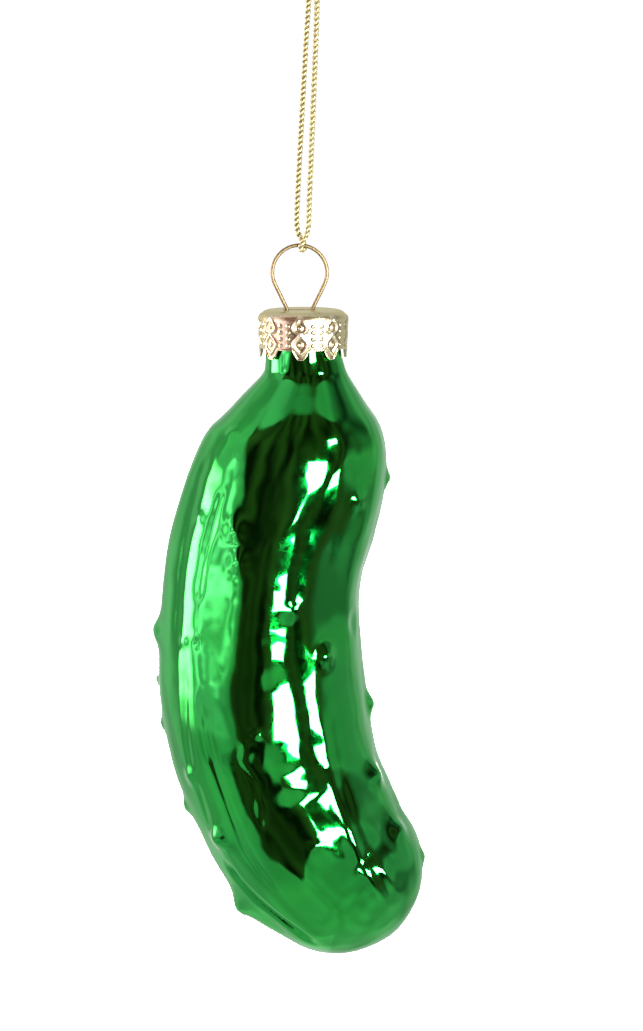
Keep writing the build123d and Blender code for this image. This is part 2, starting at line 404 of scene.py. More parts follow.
bpy.ops.object.mode_set(mode="OBJECT")
apply_modifier(glass, "SUBSURF", levels=2, render_levels=2)
bpy.ops.object.shade_smooth()

# Chart of the outside: length down the centre line from the foot of the neck, and degrees from the front to the right
charted = np.array(outer_body + dome_rings(tip_radius, (15, 30, 45, 60, 75, 88)))
spine = charted[:, :2]
spine_radius = charted[:, 2]
spine_lean = np.radians(charted[:, 3])
spine_length = np.concatenate([[0], np.cumsum(np.hypot(*np.diff(spine, axis=0).T))])


def on_glass(along, angle):
    """Point on the smooth outside, in millimetres."""
    x = np.interp(along, spine_length, spine[:, 0])
    z = np.interp(along, spine_length, spine[:, 1])
    radius = np.interp(along, spine_length, spine_radius)
    lean = np.interp(along, spine_length, spine_lean)
    right = radius * math.sin(math.radians(angle))
    front = radius * math.cos(math.radians(angle))
    return np.array([x + right * math.cos(lean), -front, z + right * math.sin(lean)])


# Warts: along, angle, radius of the base and height, in millimetres and degrees
warts = [
    (9.6, -52, 1.3, 0.2),
    (23.4, -50, 1.3, 0.24),
    (23.3, -23, 2.7, 0.5),
    (26.8, -16, 2.6, 0.45),
    (38.0, -49, 1.2, 0.22),
    (37.1, -38, 1.1, 0.15),
    (37.8, -90, 3.0, 0.9),
    (43.9, -92, 1.6, 0.5),
    (49.0, -88, 1.6, 0.5),
    (58.9, -88, 2.1, 0.7),
    (70.8, -86, 2.8, 1.1),
    (54.8, -57, 2.2, 0.5),
    (62.6, -54, 2.7, 1.0),
    (40.0, 41, 2.6, 0.4),
    (14.5, 48, 2.2, 0.35),
    (11.7, 90, 1.8, 0.6),
    (51.2, 90, 2.4, 0.8),
    (82.0, 84, 1.8, 0.4),
    (64.0, 66, 2.9, 0.8),
    (76.0, 60, 2.8, 0.7),
    (68.4, 4, 1.1, 0.2),
    (50.4, -6, 1.1, 0.2),
    (32.6, 18, 2.0, 0.25),
    (14.0, 130, 1.8, 0.5),
    (17.5, -120, 2.0, 0.55),
    (22.0, 165, 2.1, 0.55),
    (28.0, 118, 1.7, 0.5),
    (31.0, -150, 2.1, 0.6),
    (37.0, 150, 2.3, 0.65),
    (43.0, -165, 1.8, 0.5),
    (46.5, 122, 2.0, 0.55),
    (50.0, -125, 2.2, 0.6),
    (54.5, 170, 2.0, 0.6),
    (60.0, 135, 1.8, 0.5),
    (63.5, -145, 2.1, 0.6),
    (70.5, 160, 2.0, 0.55),
    (76.5, -150, 1.8, 0.5),
]
# Ridges and, with a height below nought, grooves: places along and round the glass, half width and height
strokes = [
    ([(47.0, 34), (53.6, 33), (58.6, 32), (64.5, 27)], 0.9, 0.06),
    ([(58.6, 31), (64.5, 27), (69.2, 24), (73.7, 21), (76.5, 18)], 0.9, 0.12),
    ([(48.0, 40), (60.1, 37), (67.0, 32.5)], 0.9, -0.07),
    ([(60.1, 37), (67.0, 32.5), (72.8, 28.5), (76.5, 24)], 0.9, -0.09),
    ([(75.0, 19.5), (77.0, 17.5), (78.5, 16), (81.0, 15), (84.0, 13.5)], 0.9, 0.16),
    ([(77.2, 29), (80.0, 28), (82.8, 27)], 0.7, 0.2),
    ([(65.6, -61), (67.6, -61), (70.0, -59), (71.8, -57), (74.7, -54), (77.0, -53), (80.0, -54)],
     0.8, -0.75),
    ([(39.1, -48), (44.0, -47), (50.2, -51), (54.0, -54), (57.1, -54), (60.3, -57), (63.0, -58)],
     0.7, -0.14),
    ([(43.9, -35), (49.0, -35), (53.5, -35), (58.9, -35), (62.5, -36), (64.8, -38), (67.9, -37), (71.0, -36)],
     0.6, -0.14),
    ([(18.5, -40), (20.4, -39), (25.1, -38), (30.9, -39), (33.0, -39)], 0.7, -0.12),
    ([(36.2, -38), (37.6, -38), (39.0, -38)], 0.5, -0.12),
    ([(14.0, -63), (18.1, -64), (26.2, -58), (34.3, -56), (39.0, -55)], 1.3, -0.16),
    ([(44.0, -41), (50.2, -42), (58.0, -44)], 1.4, 0.07),
    ([(9.0, 28), (11.3, 25), (14.3, 17), (18.3, 11), (22.6, 2), (24.7, -12)], 1.7, 0.14),
    ([(6.0, 42), (12.0, 38), (20.0, 36), (28.0, 38)], 1.2, -0.1),
    ([(8.0, 62), (20.0, 58), (34.0, 60), (46.0, 62)], 1.6, 0.14),
    ([(70.0, -10), (76.0, -14), (82.0, -20)], 1.6, 0.1),
    ([(70.0, 44), (76.0, 42), (82.0, 44)], 1.2, 0.14),
]
# Dents and swellings: along, angle, half length, half width and height
swellings = [
    (31.0, 8, 15.0, 10.0, 1.1),
    (59.5, 12, 2.6, 5.0, 0.15),
    (72.0, 10, 11.0, 9.0, 0.6),
    (66.5, 33, 9.0, 5.0, 0.5),
    (40.5, 41, 2.4, 2.2, 0.25),
    (72.0, -80, 7.0, 4.0, 0.75),
    (35.5, 70, 2.5, 2.5, -0.3),
]
# Flat places: along from and to, angle from and to, how far each falls downwards and rises to the right
facets = [
    (51.0, 63.0, -19, -8, 0.4, 0.5),
]
facet_edge = 1.3  # width over which a flat place runs out
facet_wander = (1.2, 5)  # how far its edge wanders, in millimetres along and in degrees
facet_wander_size = 3.5
facet_wander_begins = ((11, 0, 5), (0, 23, 9))  # where in the noise the two begin, so that every run is the same
facet_body_radius = 14.0
# Long ridges all round the glass, low on the front, where the strokes above are drawn instead
ridge_count = 10
ridge_turn = 25.0
ridge_height = 0.32
ridge_start, ridge_fade_in, ridge_fade_out = 3.0, 12.0, 14.0
front_loss = 0.75
front_half = 78  # degrees to either side
wart_waist = 0.62  # share of a wart's base at which its height has fallen to about a third
stroke_taper = 0.7  # share of a stroke's end pieces over which it rises
# Unevenness that the blowing leaves: size and height of each wave in millimetres, and where in the noise it starts
waves = [(7.0, 0.1, (0, 0, 0)), (3.0, 0.045, (40, 0, 0)), (1.3, 0.01, (0, 60, 0))]
wave_fade_in = 6.0
relief_top = -13.0  # the neck above this height stays smooth

points = coordinates(glass) / MM
normals = np.empty(len(points) * 3)
glass.data.vertices.foreach_get("normal", normals)
normals = normals.reshape(-1, 3)
flat = points[:, [0, 2]]
nearest = np.empty(len(points), int)
for start in range(0, len(points), at_once):
    block = flat[start:start + at_once]
    gaps = ((block[:, None, :] - spine[None, :, :]) ** 2).sum(axis=2)
    nearest[start:start + at_once] = gaps.argmin(axis=1)
lean_there = spine_lean[nearest]
off = flat - spine[nearest]
right = off[:, 0] * np.cos(lean_there) + off[:, 1] * np.sin(lean_there)
below = off[:, 0] * np.sin(lean_there) - off[:, 1] * np.cos(lean_there)
along = spine_length[nearest] + below
angle = np.arctan2(right, -points[:, 1])
facing_right = normals[:, 0] * np.cos(lean_there) + normals[:, 2] * np.sin(lean_there)
faces_out = points[:, 1] * normals[:, 1] + right * facing_right > 0
past_inner_tip = along > spine_length[-1] - glass_wall / 2
outside = (faces_out | past_inner_tip) & (points[:, 2] < relief_top)

lift = np.zeros(len(points))
fade = np.clip((along - ridge_start) / ridge_fade_in, 0, 1)
fade *= np.clip((spine_length[-1] - along) / ridge_fade_out, 0, 1)
fade *= 1 - front_loss * np.exp(-(angle / math.radians(front_half)) ** 6)
lift += ridge_height * (1 + np.cos(ridge_count * (angle - math.radians(ridge_turn)))) / 2 * fade
for wart_along, wart_angle, base, height in warts:
    gap = np.linalg.norm(points - on_glass(wart_along, wart_angle), axis=1) / (base * wart_waist)
    lift += height * np.exp(-gap ** 2)
for route, half_width, height in strokes:
    places = np.array(route, float)
    spread = np.linspace(0, len(route) - 1, 24 * (len(route) - 1))
    ends = np.clip(np.minimum(spread, spread[-1] - spread) / stroke_taper, 0, 1)
    marks = np.array([
        on_glass(*[np.interp(share, range(len(route)), places[:, column]) for column in (0, 1)])
        for share in spread
    ])
    for start in range(0, len(points), at_once):
        gaps = np.linalg.norm(points[start:start + at_once, None, :] - marks[None, :, :], axis=2)
        closest = gaps.argmin(axis=1)
        gap = gaps.min(axis=1) / half_width
        lift[start:start + at_once] += height * ends[closest] * np.exp(-gap ** 2)
for swell_along, swell_angle, half_length, half_width, height in swellings:
    middle = on_glass(swell_along, swell_angle)
    away = points - middle
    lean = np.interp(swell_along, spine_length, spine_lean)
    lengthwise = (away[:, 0] * math.sin(lean) - away[:, 2] * math.cos(lean)) / half_length
    total = (away ** 2).sum(axis=1) - (lengthwise * half_length) ** 2
    gap = lengthwise ** 2 + total / half_width ** 2
    lift += np.where(gap < 1, height * (1 - gap) ** 2, 0)
wobble = np.zeros((len(points), 2))
for number in np.nonzero(outside)[0]:
    place = Vector(points[number])
    wave = sum(height * noise.noise(place / size + Vector(begin)) for size, height, begin in waves)
    lift[number] += wave * min(max(along[number] / wave_fade_in, 0), 1)
    wobble[number] = [noise.noise(place / facet_wander_size + Vector(begin)) for begin in facet_wander_begins]
for along_from, along_to, angle_from, angle_to, fall, turn in facets:
    length = along_to - along_from
    width = math.radians(angle_to - angle_from) * facet_body_radius
    down_share = (along + facet_wander[0] * wobble[:, 0] - along_from) / length
    across_share = (np.degrees(angle) + facet_wander[1] * wobble[:, 1] - angle_from) / (angle_to - angle_from)
    edge = np.minimum(np.minimum(down_share, 1 - down_share) * length,
                      np.minimum(across_share, 1 - across_share) * width)
    weight = np.clip(edge / facet_edge, 0, 1)
    lift += weight ** 2 * (3 - 2 * weight) * (fall * (0.5 - down_share) + turn * (across_share - 0.5))
lift = np.where(outside, lift, 0)
set_coordinates(glass, (points + normals * lift[:, None]) * MM)
hang_up(glass)
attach(glass, "glass")
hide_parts("glass_shell")

# Wire hanger: a ring with its ends drawn together into the cap, and two sprung legs inside the neck
wire_radius = 0.275
ring_radius = 3.9
ring_open = 63.94  # degrees from the ring's lowest point to either end
ring_step = 6
ring_points = []
for angle in np.radians(np.arange(180 - ring_open, -180 + ring_open - 1, -ring_step)):
    ring_points.append((ring_radius * math.sin(angle), ring_radius * math.cos(angle)))
leg_route = [(3.1, -2.55), (2.4, -3.97), (1.95, -4.9), (1.75, -5.3), (1.86, -5.75), (2.4, -7.4), (3.6, -11.0)]
leg_tail = [(4.7, -14.2), (4.875, -14.8), (4.875, -15.6), (4.875, -17.7)]
right_leg = leg_route + leg_tail
left_leg = [(-x, z) for x, z in leg_route[:5]] + [(-2.2, -7.4), (-3.0, -11.0)]
left_leg += [(-3.75, -14.2), (-3.875, -14.8), (-3.875, -15.6), (-3.875, -17.7)]
wire_route = list(reversed(left_leg)) + list(reversed(ring_points)) + right_leg
wire_curve = bpy.data.curves.new("brass_wire_hanger", "CURVE")
wire_curve.dimensions = "3D"
wire_curve.bevel_depth = wire_radius * MM
wire_curve.bevel_resolution = 4
wire_curve.use_fill_caps = True
wire_curve.resolution_u = 4
spline = wire_curve.splines.new("NURBS")
spline.points.add(len(wire_route) - 1)
for point, (x, z) in zip(spline.points, wire_route):
    point.co = (x * MM, 0, z * MM, 1)
spline.order_u = 3
spline.use_endpoint_u = True
wire = bpy.data.objects.new("brass_wire_hanger", wire_curve)
bpy.context.scene.collection.objects.link(wire)
pick(wire)
bpy.ops.object.convert(target="MESH")
wire = bpy.context.object
bpy.ops.object.shade_smooth()
hang_up(wire)
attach(wire, "hanger")
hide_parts("wire_hanger")

# Cap: a thin tube of rows that is drawn to the cap's shape, from the slot in its top down to the scalloped foot
cap_top = -5.3
cap_height = 6.7
cap_top_radius = 6.27
cap_foot_radius = 6.02
cap_corner = 1.3
cap_wall = 0.25
slot_half_length = 2.425
slot_half_width = 0.525
scallop_count = 8
scallop_depth = 1.35
scallop_turn = -3.5
cap_columns = 384
top_rows, corner_rows, skirt_rows = 10, 8, 64
cap_rows = top_rows + corner_rows + skirt_rows
top_edge = cap_top_radius - cap_corner
deselect()
bpy.ops.mesh.primitive_circle_add(vertices=cap_columns, radius=1, fill_type="NOTHING", location=(0, 0, 0))
cap = bpy.context.object
cap.name = "embossed_crown_cap"
bpy.ops.object.mode_set(mode="EDIT")
bpy.ops.mesh.select_all(action="SELECT")
for row in range(cap_rows):
    bpy.ops.mesh.extrude_region_move(TRANSFORM_OT_translate={"value": (0, 0, -1)})
bpy.ops.object.mode_set(mode="OBJECT")
tube = coordinates(cap)
row = np.round(-tube[:, 2])
turn = np.arctan2(tube[:, 1], tube[:, 0])

# The slot's edge, as seen from the cap's axis, which lies to the right of the slot's middle
near, far = np.zeros(len(tube)), np.full(len(tube), top_edge)
for _ in range(40):
    slot_edge = (near + far) / 2
    slot_x = neck_shift + slot_edge * np.cos(turn)
    slot_y = slot_edge * np.sin(turn)
    over = np.maximum(np.abs(slot_x) - (slot_half_length - slot_half_width), 0)
    inside = np.hypot(over, slot_y) < slot_half_width
    near = np.where(inside, slot_edge, near)
    far = np.where(inside, far, slot_edge)

# Round each scallop: distance from the middle of its lobe, and how far the edge rises towards the next
lobe_flat = 0.25  # half width of a lobe's lowest part
notch_half = 1.05  # half width of the highest part between two lobes
lobe = 2 * math.pi / scallop_count
from_lobe = (turn + math.pi / 2 - math.radians(scallop_turn) + lobe / 2) % lobe - lobe / 2
skirt_radius = (cap_top_radius + cap_foot_radius) / 2
across = np.abs(from_lobe) * skirt_radius
lobe_half = lobe * skirt_radius / 2
edge_share = np.clip((across - lobe_flat) / (lobe_half - notch_half - lobe_flat), 0, 1)
edge_depth = cap_height - scallop_depth * (3 * edge_share ** 2 - 2 * edge_share ** 3)

top_share = np.clip(row / top_rows, 0, 1)
corner_share = np.clip((row - top_rows) / corner_rows, 0, 1)
skirt_share = np.clip((row - top_rows - corner_rows) / skirt_rows, 0, 1)
radius = slot_edge + (top_edge - slot_edge) * top_share + cap_corner * np.sin(corner_share * math.pi / 2)
depth = cap_corner * (1 - np.cos(corner_share * math.pi / 2)) + (edge_depth - cap_corner) * skirt_share
radius -= (cap_top_radius - cap_foot_radius) * np.clip((depth - cap_corner) / (cap_height - cap_corner), 0, 1)


def gap_to_line(across, depth, line):
    """Distance in millimetres from places on the skirt to a line drawn on it."""
    best = np.full(len(across), 1e9)
    for (a0, d0), (a1, d1) in zip(line, line[1:]):
        run = (a1 - a0) ** 2 + (d1 - d0) ** 2
        share = np.clip(((across - a0) * (a1 - a0) + (depth - d0) * (d1 - d0)) / run, 0, 1)
        best = np.minimum(best, np.hypot(across - a0 - share * (a1 - a0), depth - d0 - share * (d1 - d0)))
    return best


# Stamped pattern, half of a lobe: a drop, a leaf below it, two columns of beads between the lobes, and a rolled edge
drop_line = [(0.0, 0.7), (0.35, 1.1), (0.75, 1.6), (0.98, 2.1), (0.85, 2.5), (0.45, 2.75), (0.0, 2.82)]
leaf_line = [(0.0, 3.05), (0.35, 3.5), (0.75, 3.95), (1.05, 4.4), (0.95, 4.85), (0.55, 5.35), (0.0, 5.85)]
line_height, line_half = 0.2, 0.2
recess_gap, recess_half = 0.42, 0.16  # the painted shade in the hollow beside a raised line
leaf_bead_depth = 4.55
dimple_radius, dimple_depth = 0.17, 0.14
roll_height, roll_half = 0.16, 0.22
column_inset = 0.6  # from the middle between two lobes to a column of beads
line_gap = np.minimum(gap_to_line(across, depth, drop_line), gap_to_line(across, depth, leaf_line))
relief = line_height * np.exp(-(line_gap / line_half) ** 2)
recess = np.exp(-((line_gap - recess_gap) / recess_half) ** 2)
# Beads: across, depth, radius and height
beads = [(0.0, 2.2, 0.36, 0.18), (0.0, leaf_bead_depth, 0.42, 0.22)]
beads += [(lobe_half - column_inset, bead_depth, 0.34, 0.14) for bead_depth in (1.85, 2.75, 3.7, 4.65)]
for bead_across, bead_depth, bead_radius, bead_height in beads:
    gap = np.hypot(across - bead_across, depth - bead_depth) / bead_radius
    relief = np.maximum(relief, np.where(gap < 1, bead_height * (1 - gap ** 2), 0))
    # A ring of painted shade round each bead
    recess = np.maximum(recess, 2 * bead_height * np.exp(-((gap - 1.15) / 0.25) ** 2))
dimple = np.hypot(across, depth - leaf_bead_depth) / dimple_radius
relief -= np.where(dimple < 1, dimple_depth * (1 - dimple ** 2), 0)
relief = np.maximum(relief, roll_height * np.exp(-((edge_depth - depth) / roll_half) ** 2))
relief = np.where(row > top_rows, relief, 0)
radius += relief
cap_points = np.stack([neck_shift + radius * np.cos(turn), radius * np.sin(turn), cap_top - depth], axis=1)
set_coordinates(cap, cap_points * MM)
full_relief = 0.26  # height at which the painted highlight is brightest
flat_tone = 0.4  # tone of the metal that is neither raised nor hollow
plain_edge = 0.3  # width along the edge without painted shade
hollow = (row > top_rows + corner_rows) & (edge_depth - depth > plain_edge)
recess = np.where(hollow, recess * (1 - relief / full_relief), 0)
# Tone of the metal, kept in the relief attribute: a painted highlight that grows with the height of the pattern, less
# painted brownish shade in the recesses
stamped = cap.data.attributes.new("relief", "FLOAT", "POINT")
stamped.data.foreach_set("value", flat_tone + (1 - flat_tone) * relief / full_relief - flat_tone * recess)
pick(cap)
bpy.ops.object.mode_set(mode="EDIT")
bpy.ops.mesh.select_all(action="SELECT")
bpy.ops.mesh.normals_make_consistent(inside=False)
bpy.ops.object.mode_set(mode="OBJECT")
apply_modifier(cap, "SOLIDIFY", thickness=cap_wall * MM, offset=-1.0)
bpy.ops.object.shade_smooth()
hang_up(cap)
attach(cap, "cap")
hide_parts("crown_cap")

# Materials
# Metallised gold yarn: a foil-wrapped two-ply thread, with a painted highlight on top of each ply, painted olive
# shade in the gaps between the plies, and the right-hand run painted paler
gold_thread = bpy.data.materials.new("metallised_gold_yarn")
gold_thread.use_nodes = True
tree = gold_thread.node_tree
shader = tree.nodes["Principled BSDF"]
shader.inputs["Metallic"].default_value = 0.65
# The foil strips are 0.1 mm wide, too fine to show, so they are drawn as patches of 0.28 mm
place = add_node(tree, "ShaderNodeTexCoord")
fibres = add_node(
    tree, "ShaderNodeTexNoise", {"Scale": 1 / (0.28 * MM), "Detail": 2.0}, {"Vector": place.outputs["Object"]}
)
dulling = add_node(
    tree, "ShaderNodeMapRange", {"From Min": 0.3, "From Max": 0.7, "To Min": 0.36, "To Max": 0.48},
    {"Value": fibres.outputs["Fac"]},
)
tree.links.new(dulling.outputs["Result"], shader.inputs["Roughness"])
unevenness = add_node(tree, "ShaderNodeBump", {"Distance": 0.02 * MM}, {"Height": fibres.outputs["Fac"]})
tree.links.new(unevenness.outputs["Normal"], shader.inputs["Normal"])
# The right-hand run is painted paler and the left-hand run darker, as if lit from the right
sides = add_node(tree, "ShaderNodeSeparateXYZ", {}, {"Vector": place.outputs["Object"]})
paler_run = add_node(
    tree, "ShaderNodeMapRange", {"From Min": -0.4 * MM, "From Max": 0.4 * MM, "To Min": -0.2, "To Max": 0.0},
    {"Value": sides.outputs["X"]},
)
# Painted highlight on top of each ply and painted olive shade in the gaps, from how far out each vertex lies
turned_out = add_node(tree, "ShaderNodeAttribute", {"attribute_name": "outward"})
sheen = add_node(
    tree, "ShaderNodeMath", {"operation": "ADD"}, {0: turned_out.outputs["Fac"], 1: paler_run.outputs["Result"]}
)
foil = add_node(
    tree, "ShaderNodeMath", {"operation": "MULTIPLY_ADD", 1: 0.4}, {0: fibres.outputs["Fac"], 2: sheen.outputs[0]}
)
gold_range = add_node(tree, "ShaderNodeValToRGB", {}, {"Fac": foil.outputs[0]})
gold_range.color_ramp.elements[0].position = 0.25
gold_range.color_ramp.elements[0].color = linear("#7E7240")
gold_range.color_ramp.elements[1].position = 1.0
gold_range.color_ramp.elements[1].color = linear("#D0C692")
tree.links.new(gold_range.outputs["Color"], shader.inputs["Base Color"])
for piece in (cord, knot):
    piece.data.materials.clear()
    piece.data.materials.append(gold_thread)

# Silvered glass under clear green lacquer: a coloured mirror below a clear glossy coat
green_glass = bpy.data.materials.new("silvered_glass_green_lacquer")
green_glass.use_nodes = True
tree = green_glass.node_tree
shader = tree.nodes["Principled BSDF"]
shader.inputs["Metallic"].default_value = 1.0
# The lacquer lies unevenly over about 11 mm, and the silvering below it is duller in specks of about 1.1 mm
place = add_node(tree, "ShaderNodeTexCoord")
runs = add_node(
    tree, "ShaderNodeTexNoise", {"Scale": 1 / (11.0 * MM), "Detail": 1.0}, {"Vector": place.outputs["Object"]}
)
greens = add_node(tree, "ShaderNodeValToRGB", {}, {"Fac": runs.outputs["Fac"]})
greens.color_ramp.elements[0].position = 0.3
greens.color_ramp.elements[0].color = linear("#028E31")
greens.color_ramp.elements[1].position = 0.7
greens.color_ramp.elements[1].color = linear("#049B2C")
tree.links.new(greens.outputs["Color"], shader.inputs["Base Color"])
specks = add_node(
    tree, "ShaderNodeTexNoise", {"Scale": 1 / (1.1 * MM), "Detail": 2.0}, {"Vector": place.outputs["Object"]}
)
dulling = add_node(
    tree, "ShaderNodeMapRange", {"From Min": 0.3, "From Max": 0.7, "To Min": 0.035, "To Max": 0.09},
    {"Value": specks.outputs["Fac"]},
)
tree.links.new(dulling.outputs["Result"], shader.inputs["Roughness"])
unevenness = add_node(tree, "ShaderNodeBump", {"Distance": 0.002 * MM}, {"Height": specks.outputs["Fac"]})
tree.links.new(unevenness.outputs["Normal"], shader.inputs["Normal"])
shader.inputs["Specular Tint"].default_value = (0.5, 0.8, 0.55, 1)
shader.inputs["Coat Weight"].default_value = 0.5
shader.inputs["Coat Roughness"].default_value = 0.02
shader.inputs["Coat IOR"].default_value = 1.5
glass.data.materials.clear()
glass.data.materials.append(green_glass)

# Pale-gold anodised aluminium, stamped thin, with a painted highlight on the raised pattern and painted brownish
# shade in its recesses
cap_metal = bpy.data.materials.new("pale_gold_anodised_aluminium")
cap_metal.use_nodes = True
tree = cap_metal.node_tree
shader = tree.nodes["Principled BSDF"]
shader.inputs["Metallic"].default_value = 1.0
# The rolled sheet's grain is about 0.05 mm, too fine to show, so it is drawn as patches of 0.35 mm
place = add_node(tree, "ShaderNodeTexCoord")
grain = add_node(
    tree, "ShaderNodeTexNoise", {"Scale": 1 / (0.35 * MM), "Detail": 2.0}, {"Vector": place.outputs["Object"]}
)
dulling = add_node(
    tree, "ShaderNodeMapRange", {"From Min": 0.3, "From Max": 0.7, "To Min": 0.26, "To Max": 0.36},
    {"Value": grain.outputs["Fac"]},
)
tree.links.new(dulling.outputs["Result"], shader.inputs["Roughness"])
unevenness = add_node(tree, "ShaderNodeBump", {"Distance": 0.008 * MM}, {"Height": grain.outputs["Fac"]})
tree.links.new(unevenness.outputs["Normal"], shader.inputs["Normal"])
shader.inputs["Specular Tint"].default_value = (0.92, 0.88, 0.66, 1)
stamped = add_node(tree, "ShaderNodeAttribute", {"attribute_name": "relief"})
# Brown for the painted shade, pale gold for the painted highlight, the plain metal between
gold_tones = add_node(tree, "ShaderNodeValToRGB", {}, {"Fac": stamped.outputs["Fac"]})
gold_tones.color_ramp.elements[0].color = linear("#7A6648")
gold_tones.color_ramp.elements[1].color = linear("#DAD5BC")
gold_tones.color_ramp.elements.new(flat_tone).color = linear("#BCB592")
tree.links.new(gold_tones.outputs["Color"], shader.inputs["Base Color"])
cap.data.materials.clear()
cap.data.materials.append(cap_metal)

# Brass-plated drawn wire: bright gold with brown where it mirrors the room
wire_metal = bpy.data.materials.new("brass_plated_drawn_wire")
wire_metal.use_nodes = True
tree = wire_metal.node_tree
shader = tree.nodes["Principled BSDF"]
shader.inputs["Metallic"].default_value = 1.0
# The draw marks are about 0.03 mm wide, too fine to show, so they are drawn as patches of 1.6 mm
place = add_node(tree, "ShaderNodeTexCoord")
draw_marks = add_node(
    tree, "ShaderNodeTexNoise", {"Scale": 1 / (1.6 * MM), "Detail": 2.0}, {"Vector": place.outputs["Object"]}
)
dulling = add_node(
    tree, "ShaderNodeMapRange", {"From Min": 0.3, "From Max": 0.7, "To Min": 0.46, "To Max": 0.56},
    {"Value": draw_marks.outputs["Fac"]},
)
tree.links.new(dulling.outputs["Result"], shader.inputs["Roughness"])
unevenness = add_node(tree, "ShaderNodeBump", {"Distance": 0.003 * MM}, {"Height": draw_marks.outputs["Fac"]})
tree.links.new(unevenness.outputs["Normal"], shader.inputs["Normal"])
brasses = add_node(tree, "ShaderNodeValToRGB", {}, {"Fac": draw_marks.outputs["Fac"]})
brasses.color_ramp.elements[0].position = 0.3
brasses.color_ramp.elements[0].color = linear("#7A6D4C")
brasses.color_ramp.elements[1].position = 0.7
brasses.color_ramp.elements[1].color = linear("#8F8160")
tree.links.new(brasses.outputs["Color"], shader.inputs["Base Color"])
wire.data.materials.clear()
wire.data.materials.append(wire_metal)

# Stage: pale floor, white surroundings, the studio's lamps, and a glowing screen with the room's light and shade
# painted on it, which only the glass and the metal mirror
room_centre = Vector((4.8, 0, -85)) * MM


def around(azimuth, rise, distance):
    """Place round the ornament: degrees from the front to the right, degrees up, and metres."""
    a, e = math.radians(azimuth), math.radians(rise)
    return room_centre + Vector((math.sin(a) * math.cos(e), -math.cos(a) * math.cos(e), math.sin(e))) * distance


def soft_lamp(name, azimuth, rise, distance, width, height, brightness):
    """A rectangular lamp that faces the ornament. Brightness is what a mirror would show of it."""
    deselect()
    spot = around(azimuth, rise, distance)
    bpy.ops.object.light_add(type="AREA", location=spot)
    lamp = bpy.context.object
    lamp.name = name
    lamp.rotation_euler = (spot - room_centre).to_track_quat("Z", "Y").to_euler()
    lamp.data.shape = "RECTANGLE"
    lamp.data.size = width
    lamp.data.size_y = height
    lamp.data.energy = brightness * math.pi * width * height
    return lamp


floor_height = -0.6
window_upper = soft_lamp("window_upper_pane", 27, 10.5, 0.6, 0.18, 0.137, 60)
window_lower = soft_lamp("window_lower_pane", 20, -8.2, 0.6, 0.18, 0.08, 60)
window_far = soft_lamp("window_far", 57, -1, 0.6, 0.14, 0.09, 60)
window_high = soft_lamp("window_high", 47, 32, 0.6, 0.11, 0.08, 55)
for lamp in (window_upper, window_lower, window_far, window_high):
    lamp.visible_diffuse = False
soft_lamp("key_softbox", 30, 45, 0.9, 0.5, 0.5, 3).visible_glossy = False
soft_lamp("left_softbox", -75, 15, 0.7, 0.5, 0.6, 3).visible_glossy = False

world = bpy.data.worlds.new("studio")
bpy.context.scene.world = world
world.use_nodes = True
tree = world.node_tree
path = add_node(tree, "ShaderNodeLightPath")
camera_or_glossy = add_node(
    tree, "ShaderNodeMath", {"operation": "MAXIMUM"},
    {0: path.outputs["Is Camera Ray"], 1: path.outputs["Is Glossy Ray"]},
)
seen = add_node(
    tree, "ShaderNodeMath", {"operation": "MAXIMUM"},
    {0: camera_or_glossy.outputs[0], 1: path.outputs["Is Transmission Ray"]},
)
level = add_node(tree, "ShaderNodeMapRange", {"To Min": 0.8, "To Max": 1.0}, {"Value": seen.outputs[0]})
tree.nodes["Background"].inputs["Color"].default_value = (1, 1, 1, 1)
tree.links.new(level.outputs["Result"], tree.nodes["Background"].inputs["Strength"])

deselect()
bpy.ops.mesh.primitive_plane_add(size=16, location=(0, 0, floor_height))
floor = bpy.context.object
floor.name = "floor"
pale_floor = bpy.data.materials.new("matt_white_paper_floor")
pale_floor.use_nodes = True
tree = pale_floor.node_tree
shader = tree.nodes["Principled BSDF"]
shader.inputs["Base Color"].default_value = (0.9, 0.9, 0.9, 1)
shader.inputs["Roughness"].default_value = 1.0
shader.inputs["Specular IOR Level"].default_value = 0.0
shader.inputs["Emission Color"].default_value = (1, 1, 1, 1)
path = add_node(tree, "ShaderNodeLightPath")
glow = add_node(tree, "ShaderNodeMath", {"operation": "MULTIPLY", 1: 0.35}, {0: path.outputs["Is Camera Ray"]})
tree.links.new(glow.outputs[0], shader.inputs["Emission Strength"])
floor.data.materials.append(pale_floor)
floor.visible_glossy = False


def ramp(value, low, high):
    """Rises smoothly from 0 at low to 1 at high."""
    share = min(max((value - low) / (high - low), 0), 1)
    return share * share * (3 - 2 * share)


def between(value, low, low_full, high_full, high):
    """1 from low_full to high_full, with smooth falls to 0 at low and at high."""
    return ramp(value, low, low_full) * (1 - ramp(value, high_full, high))


# The dark part of the room: azimuths of its left end for these rises, and rises of its lower end for these azimuths
dark_left = ((-50, -36, -30, -22, 2, 9, 14, 23, 40, 53), (-40, -54, -57, -40, -40, -50, -54, -62, -75, -90))
dark_below = ((-36, -26, -16, -4, 3, 42, 50), (-50, -45, -33, -23, -13.5, -13.5, -18))
# Brightness of the near lit wall, of the far one and of the dark part, for red, green and blue
room_tints = ((1.7, 18.0, 0.36), (1.0, 14.0, 0.14), (1.5, 13.0, 0.08))


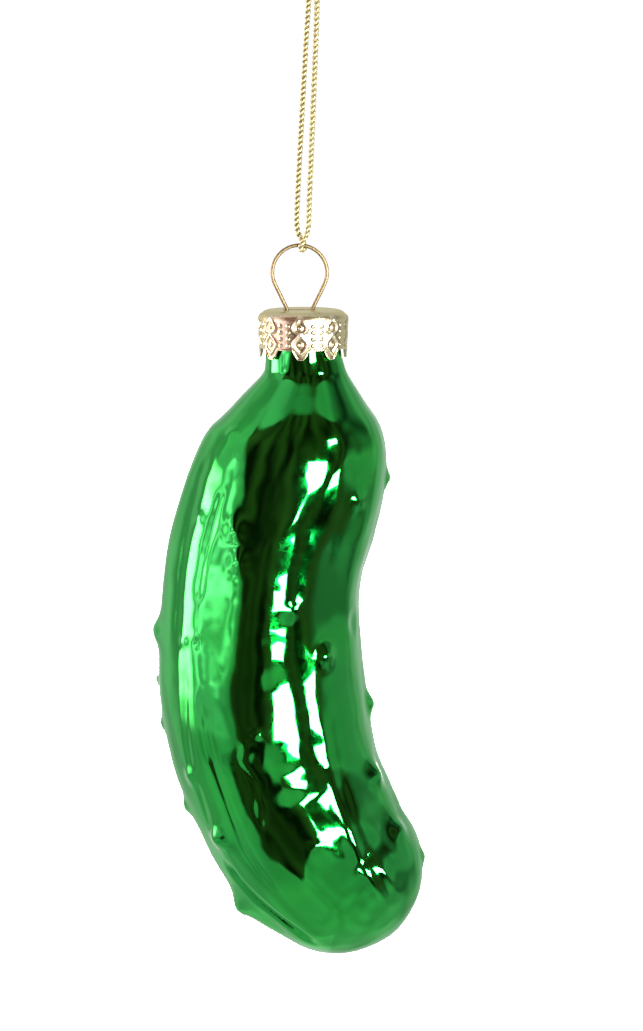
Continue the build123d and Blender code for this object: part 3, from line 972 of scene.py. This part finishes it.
def room_light(azimuth, rise):
    """Colour of the studio that the glass and the metal mirror, in a direction from the ornament."""
    # Plain wall, paler below and far to the left, with two shadows on the right
    way = (around(azimuth, rise, 1) - room_centre) * 4.5
    wall = 0.78 * (1 + 0.4 * noise.noise(way))
    wall *= 1 + 0.15 * (1 - ramp(rise, -45, -25)) + 0.3 * (1 - ramp(azimuth, -135, -118))
    shadow_low = between(rise, -28, -20, -9, -2)
    shadow_high = between(rise, 8, 18, 45, 60)
    wall -= between(azimuth, 40, 60, 98, 135) * (0.42 * shadow_low + 0.56 * shadow_high)
    # Lit walls on the left, the near one in streaks
    left_end = np.interp(rise, *dark_left)
    streak = max(0.72 + 4.0 * noise.noise(Vector((azimuth / 8, rise / 4.5, 8))), 0.0)
    near_band = between(azimuth, -82, -72, left_end - 12, left_end) * between(rise, -22, -5, 16, 32)
    far_band = between(azimuth, -112, -104, -88, -80) * between(rise, -22, -4, 9, 17)
    low_band = between(azimuth, -105, -95, -60, -44) * ramp(rise, -26, -18)
    left = 0.4 * low_band + 1.5 * streak * near_band
    # Dark part in front, behind the camera
    lower_end = np.interp(azimuth, *dark_below)
    upper_end = 70.5 - 17 * ramp(abs(azimuth), 30, 80)
    dark = between(azimuth, left_end - 1, left_end + 5, 68, 80 + 20 * max(shadow_low, shadow_high))
    dark *= between(rise, lower_end - 2, lower_end, upper_end - 3, upper_end)
    shade = max(0.68 + 1.3 * noise.noise(Vector((azimuth / 12, rise / 30, 3))), 0.12)
    # Pale wall and a window behind the ornament
    rear = ramp(abs(azimuth), 150, 160) * between(rise, -40, -26, 40, 55)
    rear_window = ramp(abs(azimuth), 167, 170) * between(rise, -22, -20, -4, -2)
    wall = wall * (1 - rear) + (0.88 + 10.0 * rear_window) * rear
    colour = []
    for near_tint, far_tint, dark_tint in room_tints:
        bright = wall + left * near_tint + far_band * far_tint
        colour.append(bright * (1 - dark) + shade * dark_tint * dark)
    return colour + [1.0]


deselect()
bpy.ops.mesh.primitive_uv_sphere_add(segments=240, ring_count=120, radius=0.8, location=room_centre)
screen = bpy.context.object
screen.name = "studio_screen"
glow = screen.data.attributes.new("glow", "FLOAT_COLOR", "POINT")
for number, vertex in enumerate(screen.data.vertices):
    azimuth = math.degrees(math.atan2(vertex.co.x, -vertex.co.y))
    rise = math.degrees(math.asin(vertex.co.normalized().z))
    glow.data[number].color = room_light(azimuth, rise)
# The screen's colour is painted room light and shade, given off as glow
screen_cloth = bpy.data.materials.new("studio_screen_cloth")
screen_cloth.use_nodes = True
tree = screen_cloth.node_tree
shader = tree.nodes["Principled BSDF"]
shader.inputs["Base Color"].default_value = (0, 0, 0, 1)
shader.inputs["Specular IOR Level"].default_value = 0.0
shader.inputs["Emission Strength"].default_value = 1.0
level = add_node(tree, "ShaderNodeAttribute", {"attribute_name": "glow"})
tree.links.new(level.outputs["Color"], shader.inputs["Emission Color"])
screen.data.materials.append(screen_cloth)
for sight in ("visible_camera", "visible_diffuse", "visible_shadow", "visible_transmission"):
    setattr(screen, sight, False)

bpy.context.scene.view_settings.view_transform = "Standard"
